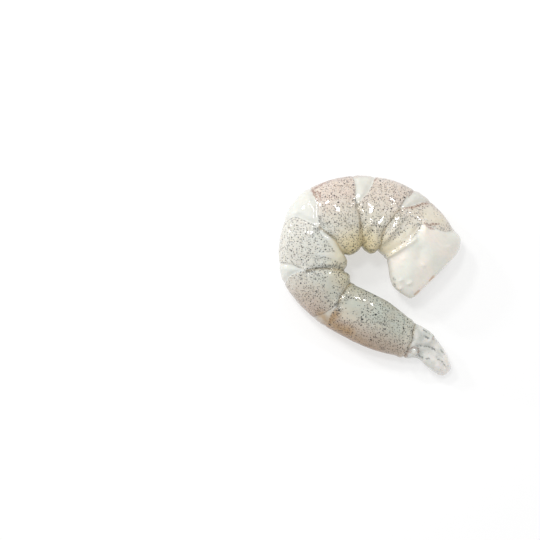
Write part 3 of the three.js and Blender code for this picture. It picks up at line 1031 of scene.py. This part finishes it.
class Value:
    """A number that varies over the surface."""

    def __init__(self, finish, socket):
        self.finish = finish
        self.socket = socket

    def math(self, operation, first, second=0.0):
        made = self.finish.node("ShaderNodeMath", {"operation": operation}, {0: first, 1: second})
        return Value(self.finish, made.outputs[0])

    def __add__(self, other):
        return self.math("ADD", self, other)

    def __radd__(self, other):
        return self.math("ADD", other, self)

    def __sub__(self, other):
        return self.math("SUBTRACT", self, other)

    def __rsub__(self, other):
        return self.math("SUBTRACT", other, self)

    def __mul__(self, other):
        return self.math("MULTIPLY", self, other)

    def __rmul__(self, other):
        return self.math("MULTIPLY", other, self)

    def __lt__(self, other):
        return self.math("LESS_THAN", self, other)

    def step(self, start, end):
        """0 at start, 1 at end, with a soft slope between them."""
        settings = {"interpolation_type": "SMOOTHSTEP"}
        made = self.finish.node("ShaderNodeMapRange", settings, {0: self, 1: start, 2: end, 3: 0.0, 4: 1.0})
        return Value(self.finish, made.outputs[0])

    def line(self, middle, half_width):
        """1 on a thin line where the value is at its middle, 0 beside it."""
        return 1 - self.math("ABSOLUTE", self - middle).step(0.0, half_width)

    def ragged(self, cloud, amount, start, end):
        """A soft step from 0 to 1, like step, at an edge that a cloud makes ragged."""
        return (self + (cloud - CLOUD_MIDDLE) * amount).step(start, end)


print("a value knows:", [name for name, made in vars(Value).items() if callable(made)])

# %% A finish that adds its own nodes
RAGGED_SCALE = 2200.0  # lumps in a metre of the noise that pulls spots out of round
RAGGED_PULL = 0.2 * MM
SPOT_SCATTER = 0.75  # 0 sets the spots in rows, 1 throws them anywhere
SPOT_LEAST = 0.75  # the smallest spot's share of the usual radius
SPOT_MORE = 0.5  # how much the largest spot's share is over that
SPOT_EDGE = (-0.05, 0.06)  # mm


class Finish:
    """A material, and the nodes that make it."""

    def __init__(self, name):
        self.material = bpy.data.materials.new(name)
        self.material.use_nodes = True
        self.tree = self.material.node_tree
        self.shader = self.tree.nodes["Principled BSDF"]
        self.where = self.node("ShaderNodeTexCoord").outputs["Object"]

    def node(self, kind, settings=None, inputs=None):
        """Adds a node: its settings first, then the values or links of its sockets."""
        made = self.tree.nodes.new(kind)
        for key, setting in (settings or {}).items():
            setattr(made, key, setting)
        for key, value in (inputs or {}).items():
            self.feed(made.inputs[key], value)
        return made

    def feed(self, socket, value):
        """Links a value or an output to a socket, or sets the socket to a number or colour."""
        value = value.socket if isinstance(value, Value) else value
        if isinstance(value, bpy.types.NodeSocket):
            self.tree.links.new(value, socket)
        else:
            socket.default_value = value

    def read(self, name):
        """An attribute of the skin."""
        return Value(self, self.node("ShaderNodeAttribute", {"attribute_name": name}).outputs["Fac"])

    def mix(self, factor, below, above):
        """One colour over another."""
        made = self.node("ShaderNodeMix", {"data_type": "RGBA"}, {0: factor, 6: below, 7: above})
        return made.outputs[2]

    def shifted(self, where, shift):
        """The same place, moved, so that two patterns of one kind differ."""
        return self.node("ShaderNodeMapping", None, {"Vector": where, "Location": (shift,) * 3}).outputs[0]

    def noise(self, where, scale, detail):
        """Soft noise: the node, for its number or its colour."""
        return self.node("ShaderNodeTexNoise", None, {"Vector": where, "Scale": scale, "Detail": detail})

    def clouds(self, size_mm, detail=2.0, shift=0.0):
        """Soft noise from 0 to 1 with lumps of about the given size."""
        cloud = self.noise(self.shifted(self.where, shift), 1 / (size_mm * MM), detail)
        return Value(self, cloud.outputs[0])

    def fibres(self, thick_mm, long_mm, turn):
        """Streaks from 0 to 1 that run level through the flesh, turned from the right by an angle."""
        turned = {"Vector": self.where, "Angle": -turn}
        along = self.node("ShaderNodeVectorRotate", {"rotation_type": "Z_AXIS"}, turned)
        scales = (1 / (long_mm * MM), 1 / (thick_mm * MM), 1 / (thick_mm * MM))
        stretched = self.node("ShaderNodeMapping", None, {"Vector": along.outputs[0], "Scale": scales})
        return Value(self, self.noise(stretched.outputs[0], 1.0, 2.0).outputs[0])

    def spots(self, spacing_mm, radius_mm, shift, palest, share):
        """Round spots of uneven size and darkness, one in each of a share of the cells."""
        pull = {0: self.noise(self.where, RAGGED_SCALE, 1.0).outputs[1], 1: (RAGGED_PULL,) * 3, 2: self.where}
        pulled = self.node("ShaderNodeVectorMath", {"operation": "MULTIPLY_ADD"}, pull)
        grid = {
            "Vector": self.shifted(pulled.outputs[0], shift),
            "Scale": 1 / (spacing_mm * MM),
            "Randomness": SPOT_SCATTER,
        }
        cells = self.node("ShaderNodeTexVoronoi", {"feature": "F1"}, grid)
        chances = self.node("ShaderNodeSeparateColor", None, {"Color": cells.outputs["Color"]})
        picked, size, dark = (Value(self, chance) for chance in chances.outputs)
        radius = (SPOT_LEAST + SPOT_MORE * size) * radius_mm
        away = Value(self, cells.outputs["Distance"]) * spacing_mm
        darkness = palest + (1 - palest) * (dark * dark)
        return (picked < share) * darkness * (radius - away).step(*SPOT_EDGE)


def colour(code):
    """A colour given as on the web, in the linear light that shaders use."""
    parts = [int(code[start : start + 2], 16) / 255 for start in (1, 3, 5)]
    linear = [part / 12.92 if part <= 0.04045 else ((part + 0.055) / 1.055) ** 2.4 for part in parts]
    return (*linear, 1.0)


print("mid grey in linear light:", round(colour("#808080")[0], 3))

# %% [markdown]
# ## Raw flesh
#
# Raw shrimp is milky glass with colours in it at several depths. One node tree can hold them all, laid over
# each other from the inside out as a painter glazes. A shader for each layer would work too, but makes a
# larger tree that is slower to render. The colours and strengths stand together in tables, so that the
# whole finish can be tuned in one place.

# %% Colours, strengths and clouds
# two colours of a ground, and where in its cloud the first gives way to the second
GROUNDS = {
    "plates": ("#DCD5C5", "#E6E1D5", 0.3, 0.7),
    "bare_skin": ("#D1CFC6", "#DAD7CE", 0.3, 0.8),
    "muscle": ("#E8E8DF", "#F4EBE1", 0.35, 0.7),
}
# a colour, how strongly it covers at least, and how much more where the layer's cloud is thick
LAYERS = {
    "plate_grey": ("#A19D8E", 0.45, 0.5),
    # partly a rusty tan of the flesh and partly painted shade
    "plate_rust_and_shade": ("#937A54", 0.5, 0.5),
    "plate_green": ("#C3CCC2", 0.7, 0),
    "plate_pink": ("#DFC8BE", 0.15, 0.5),
    "bare_green": ("#D3D7CF", 0.5, 0),
    "milky_bloom": ("#D5D9D6", 0.45, 0),
    "rubbed_skin": ("#E2DBC6", 0.5, 0),
    "belly_yellow": ("#DDCA8E", 0.5, 0.4),
    # painted shade darkening the creases below the hinges
    "crease_shade": ("#B59C68", 0.45, 0),
    # partly the flesh's own tan and partly painted shade
    "tan_and_painted_shade": ("#AE8E62", 0.8, 0),
    "cut_fibres": ("#DEDDD3", 0.3, 0),
    "tan_sliver": ("#CDB096", 0.8, 0),
    "back_line": ("#7A4C3C", 0.4, 0.6),
    # painted shade along the outline of the belly's lobes
    "belly_shade_line": ("#6B6A50", 0.3, 0.7),
    "large_spots": ("#131517", 0.94, 0),
    "edge_spots": ("#33302E", 0.6, 0),
    "dark_wash": ("#4A5252", 1.0, 0),
    "stub_spots": ("#59605F", 0.5, 0),
    "dark_spots": ("#262C2C", 0.85, 0),
    "rusty_wash": ("#96674F", 0.4, 0),
    "rusty_spots": ("#6A3A2E", 0.7, 0),
}
# size of the lumps in millimetres, how much finer noise is in them, and the pattern's shift in metres
CLOUDS = {
    "mottle": (2.2, 3.0, 0.0),
    "blotch": (5.0, 2.0, 0.3),
    "grain": (0.7, 2.0, 0.6),
    "ripple": (1.5, 2.0, 0.5),
    "fine_ripple": (0.45, 2.0, 0.7),
}
flesh = Finish("wet_raw_flesh")
mottle, blotch, grain = (flesh.clouds(*CLOUDS[name]) for name in ("mottle", "blotch", "grain"))


def ground(name, cloud):
    """Two colours of one ground, patchy as a cloud is."""
    thin, thick, start, end = GROUNDS[name]
    return flesh.mix(cloud.step(start, end), colour(thin), colour(thick))


def lay(base, name, where, cloud=None):
    """Lays a layer's colour over a base, as strongly as its row says."""
    code, least, more = LAYERS[name]
    strength = least if cloud is None else least + more * cloud
    return flesh.mix(where * strength, base, colour(code))


print(len(LAYERS), "layers on", len(GROUNDS), "grounds in", flesh.material.name)

# %% [markdown]
# ## The skin under the pigment
#
# The plates are creamy, and tinted by what lies under them: grey and a rusty tan towards the tail, green on
# its side, pink on the back. The rusty tan and the tan patches at the back of segments five and six are
# partly the flesh's own colour and partly painted shade, and inside the creases the colour is darkened to a
# brownish yellow as painted shade. Bare skin is clearer and greyer. Clouds of two sizes keep every tint
# patchy, as flesh is, where an even tint would look like paint.

# %% Plates and bare skin
LEFT_WHERE_SPARSE = 0.12  # the share of the usual spots that rubbed skin still has
SPARSE_EDGE = (-0.7, 0.6)  # mm
# how far from a crease's line its painted shade reaches
CREASE_SHADE_WIDTH = 0.6  # mm
# how ragged an edge is, and where it starts and ends, in millimetres
EDGES = {
    "plate": (0.7, -0.15, 0.2),
    "tan": (1.6, -1.6, 1.3),
    "crowd": (0.8, -0.5, 0.5),
    "rusty": (1.1, -0.16, 0.3),
}

plate, crease, sparse, tan = (flesh.read(name) for name in ("plate_mm", "crease_mm", "sparse_mm", "tan_and_shade_mm"))
yellow, pink, grey = flesh.read("yellow"), flesh.read("pink"), flesh.read("grey")
green, rust_and_shade, milky = flesh.read("green"), flesh.read("rust_and_shade"), flesh.read("milky")
neck, stub, tip = flesh.read("neck"), flesh.read("stub"), flesh.read("tip")
few = sparse.step(*SPARSE_EDGE) * (1 - LEFT_WHERE_SPARSE) + LEFT_WHERE_SPARSE
on_plate = plate.ragged(mottle, *EDGES["plate"]) * (1 - stub)

plates = ground("plates", mottle)
plates = lay(plates, "plate_grey", grey, blotch)
# rusty tan on the back of the last segments, partly its own colour and partly painted shade
plates = lay(plates, "plate_rust_and_shade", rust_and_shade, mottle)
plates = lay(plates, "plate_green", green * blotch.step(0.15, 0.75))
plates = lay(plates, "plate_pink", pink, blotch)
bare = ground("bare_skin", mottle)
bare = lay(bare, "bare_green", blotch.step(0.45, 0.75))

base = flesh.mix(on_plate, bare, plates)
base = lay(base, "milky_bloom", milky)
base = lay(base, "rubbed_skin", (1 - few) * (1 - green))
base = lay(base, "belly_yellow", yellow * (1 - neck), blotch)
# painted shade in the creases
base = lay(base, "crease_shade", (1 - crease.step(0.0, CREASE_SHADE_WIDTH)) * (1 - neck))
# tan at the back of segments five and six, partly its own colour and partly painted shade
base = lay(base, "tan_and_painted_shade", 1 - tan.ragged(mottle, *EDGES["tan"]))
print("skin:", len(flesh.tree.nodes), "nodes")

# %% [markdown]
# ## The cut neck and the stub
#
# At the neck the head was pulled off, so the muscle itself shows, dense and white, with its fibres running
# straight out of the cut and two slivers of brown tissue left on it. The stub has no pigment either. Its
# blades are clear at the root and white at the tip. Both simply cover the skin, because neither is under it.

# %% Neck and stub
NECK_RUN = math.radians(-45)  # the way the muscle runs at the neck
FIBRE_THICK, FIBRE_LONG = 0.7, 5.0  # mm
SLIVER_EDGE = (-0.2, 0.25)  # mm
COVER = 0.85  # how strongly the muscle and the stub cover the skin's colours
STUB_CLEAR, STUB_WHITE = "#C3C6C0", "#EFEBE7"
WHITE_IN_CLOUDS, WHITE_AT_TIP = 0.6, 0.7

sliver = flesh.read("sliver_mm")
fibre = flesh.fibres(FIBRE_THICK, FIBRE_LONG, NECK_RUN)
muscle = lay(ground("muscle", blotch), "cut_fibres", fibre.step(0.4, 0.75))
whiteness = mottle.step(0.3, 0.7) * WHITE_IN_CLOUDS + tip * WHITE_AT_TIP
blades_paint = flesh.mix(whiteness, colour(STUB_CLEAR), colour(STUB_WHITE))
base = flesh.mix(neck * COVER, base, muscle)
base = lay(base, "tan_sliver", 1 - sliver.step(*SLIVER_EDGE))
base = flesh.mix(stub * COVER, base, blades_paint)
base = lay(base, "back_line", flesh.read("back_line"), mottle)
# painted shade: a dark olive line where the belly's lobes turn away at the outline
base = lay(base, "belly_shade_line", flesh.read("belly_shade_line"), mottle)
print("with neck and stub:", len(flesh.tree.nodes), "nodes")

# %% [markdown]
# ## The pigment
#
# The skin's pigment is many tiny sacs, the chromatophores: fine brown ones, darker ones and a few large
# black ones. Each kind is a layer of spots with its own spacing, and all keep to the plates. Single spots
# could be drawn by hand, but there are hundreds. A rule that thins them out and crowds them is enough.

# %% Spots on the plates
# millimetres between spots, their radius, the pattern's shift in metres, how dark the palest spot is, and
# the share of places that hold one
SPOTS = {
    "fine": (0.34, 0.1, 0.0, 1.0, 0.5),
    "small": (0.48, 0.17, 0.11, 0.6, 0.85),
    "large": (1.3, 0.24, 0.23, 1.0, 0.4),
    "edge": (0.4, 0.2, 0.41, 1.0, 0.65),
    "stub": (0.5, 0.13, 0.77, 0.3, 0.3),
    "dark": (0.4, 0.17, 0.57, 1.0, 0.75),
    "rusty": (0.36, 0.16, 0.67, 1.0, 0.8),
}
SPOT_BROWN, SPOT_ROSE = "#5C5A50", "#7C4A48"  # fine spots, on grey skin and on pink
SPOT_INK, SPOT_WINE = "#1A2021", "#3E2322"  # small ones
FINE_LEAST, FINE_ON_PINK = 0.34, 0.3  # how strongly fine spots cover, and how much more on pink
MORE_ON_PINK = 0.4  # the share of places that get a fine spot too where the skin is pink
MORE_WHERE_CROWDED = 0.15
EDGE_BAND = (0.25, 0.6)  # mm from a plate's edge where small spots crowd: middle and half width
EDGE_ROW = (0.12, 0.3)  # and where the edge's own row of spots runs


def pigment(name, more=0.0, kept=1.0):
    """A kind of spots, with more of them where more says, and only a share of them kept."""
    *kind, share = SPOTS[name]
    return flesh.spots(*kind, (share + more) * kept)


crowd = flesh.read("crowd_mm")
crowded = plate.line(*EDGE_BAND) + (1 - crowd.ragged(grain, *EDGES["crowd"]))

fine = pigment("fine", pink * MORE_ON_PINK, few) * on_plate
fine_paint = flesh.mix(pink, colour(SPOT_BROWN), colour(SPOT_ROSE))
base = flesh.mix(fine * (FINE_LEAST + FINE_ON_PINK * pink), base, fine_paint)
small = pigment("small", crowded * MORE_WHERE_CROWDED, few) * on_plate
base = flesh.mix(small, base, flesh.mix(pink * 0.5, colour(SPOT_INK), colour(SPOT_WINE)))
base = lay(base, "large_spots", pigment("large", kept=few) * on_plate)
edge_spots = pigment("edge") * plate.line(*EDGE_ROW)
base = lay(base, "edge_spots", edge_spots * (1 - neck) * few)
print("with spots:", len(flesh.tree.nodes), "nodes")

# %% [markdown]
# ## Stains and seams
#
# Dark marks lie in the seams of the flesh, and brown ones beside the back. Each is a faint wash with
# spots of its own in it, because a plain line would look drawn on.

# %% Dark and rusty marks
WASH_ON_SKIN, WASH_ON_STUB = 0.2, 0.8  # the seams of the stub are inked in, those of the skin hardly

ink_ragged = 0.7 + stub * 0.6  # the seams of the stub are more ragged than the skin's, and crisper
ink_ends = 0.3 - stub * 0.14
inky = 1 - flesh.read("dark_mm").ragged(grain, ink_ragged, -0.12, ink_ends)
rusty = 1 - flesh.read("brown_mm").ragged(grain, *EDGES["rusty"])

base = lay(base, "dark_wash", inky * (WASH_ON_SKIN + stub * mottle * WASH_ON_STUB))
base = lay(base, "stub_spots", pigment("stub") * stub)
base = lay(base, "dark_spots", inky * pigment("dark") * (1 - stub))
base = lay(base, "rusty_wash", rusty)
base = lay(base, "rusty_spots", rusty * pigment("rusty"))
flesh.feed(flesh.shader.inputs["Base Color"], base)
print("with marks:", len(flesh.tree.nodes), "nodes")

# %% [markdown]
# ## Milky depth and a film of water
#
# Light goes into raw flesh, scatters and comes out again nearby, so it has subsurface scattering. Over it
# lies a film of water, which is the coat. Ripples finer than the mesh break the glints up, and are left to
# a Bump node, as they are too small to change the outline.

# %% Depth, ripples and water
FLESH_SETTINGS = {
    "Coat Roughness": 0.03,
    "Coat IOR": 1.45,
    "IOR": 1.42,
    "Subsurface Weight": 0.35,
    "Subsurface Radius": (1.0, 0.8, 0.6),  # red light goes deepest
    "Subsurface Scale": 1.2 * MM,
}
RIPPLE, RIPPLE_ON_PLATE = 0.09, 0.08  # mm everywhere, and more on the plates
FINE_RIPPLE, LESS_AT_NECK = 0.025, 0.015  # mm
FIBRE_HEIGHT = 0.04  # mm
ROUGHNESS, ROUGHER_IN_BLOTCHES = 0.3, 0.24
WETNESS, WETTER_IN_MOTTLE = 0.7, 0.4

ripple = flesh.clouds(*CLOUDS["ripple"]) * (RIPPLE + RIPPLE_ON_PLATE * on_plate)
ripple += flesh.clouds(*CLOUDS["fine_ripple"]) * (FINE_RIPPLE - LESS_AT_NECK * neck)
ripple += fibre * neck * FIBRE_HEIGHT
relief = flesh.node("ShaderNodeBump", None, {"Strength": 1.0, "Distance": MM, "Height": ripple})
flesh.feed(flesh.shader.inputs["Normal"], relief.outputs[0])
flesh.feed(flesh.shader.inputs["Roughness"], ROUGHNESS + ROUGHER_IN_BLOTCHES * blotch)
flesh.feed(flesh.shader.inputs["Coat Weight"], WETNESS + WETTER_IN_MOTTLE * mottle)
set_inputs(flesh.shader, FLESH_SETTINGS)

tail.data.materials.clear()
tail.data.materials.append(flesh.material)
print("finish:", flesh.material.name, "with", len(flesh.tree.nodes), "nodes")

# %% [markdown]
# ## Put it in the plain solid's place
#
# The plain solid stands with the middle of its footprint at the origin, so the skin is moved to the same
# middle. Then the piece is set to ride on the object's body, and the plain solid is hidden.

# %% Place, attach and hide the plain solid
skin_points = read_points(tail)
skin_middle = (skin_points.min(axis=0) + skin_points.max(axis=0)) / 2
shift = np.array((solid_low + solid_high) / 2 / MM) - skin_middle
write_points(tail, skin_points + [shift[0], shift[1], 0])
print("moved by, mm:", shift[:2].round(2))

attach(tail, "root")
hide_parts(SOLID)

size = {"cad": cad_bounds, "visual": [list(corner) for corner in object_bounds()]}
print("size:", size)
